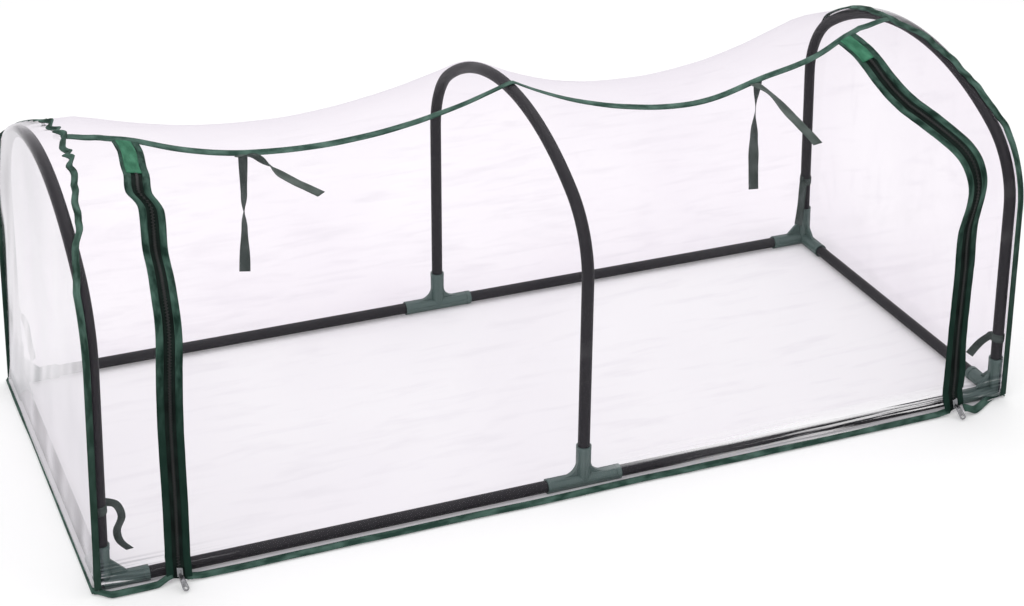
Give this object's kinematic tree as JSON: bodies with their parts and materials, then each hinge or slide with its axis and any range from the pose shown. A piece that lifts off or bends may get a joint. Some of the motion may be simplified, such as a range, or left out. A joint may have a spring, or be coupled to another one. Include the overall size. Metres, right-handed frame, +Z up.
{
  "type": "polytunnel greenhouse",
  "caption": "Small grow tunnel: a clear film cover with a zipped roll-up front, draped over a hooped tube frame on ground rails, open to the soil below.",
  "frame": {"origin": "on the ground, at the middle of the footprint", "axes": "+X along the tunnel towards the right end, +Y from the zipped front to the back, +Z up"},
  "size_m": [1.8532, 0.8472, 0.6733],
  "materials": {
    "tube": "satin dark grey coated tube",
    "connector": "moulded slate green plastic",
    "film": "clear soft film",
    "binding": "dark green woven binding",
    "zip_tape": "dark green zip tape",
    "zip_coil": "black zip coil",
    "zip_slider": "grey metal",
    "tie_tape": "grey green woven tape"
  },
  "bodies": {
    "root": {"back_hem": "binding", "back_left_corner": "connector", "back_left_rail": "tube", "back_left_tie": "tie_tape", "back_right_corner": "connector", "back_right_rail": "tube", "back_right_tie": "tie_tape", "back_sheet": "film", "back_tee": "connector", "door_hem": "binding", "door_sheet": "film", "front_left_corner": "connector", "front_left_hem": "binding", "front_left_rail": "tube", "front_left_sheet": "film", "front_left_tie": "tie_tape", "front_right_corner": "connector", "front_right_hem": "binding", "front_right_rail": "tube", "front_right_sheet": "film", "front_right_tie": "tie_tape", "front_tee": "connector", "left_end_binding": "binding", "left_end_rail": "tube", "left_end_sheet": "film", "left_hem": "binding", "left_hoop": "tube", "left_inner_door_tie": "tie_tape", "left_outer_door_tie": "tie_tape", "left_zip_coil": "zip_coil", "left_zip_slider": "zip_slider", "left_zip_tape": "zip_tape", "middle_hoop": "tube", "ridge_binding": "binding", "right_end_binding": "binding", "right_end_rail": "tube", "right_end_sheet": "film", "right_hem": "binding", "right_hoop": "tube", "right_inner_door_tie": "tie_tape", "right_outer_door_tie": "tie_tape", "right_zip_coil": "zip_coil", "right_zip_slider": "zip_slider", "right_zip_tape": "zip_tape"}
  },
  "joints": []
}
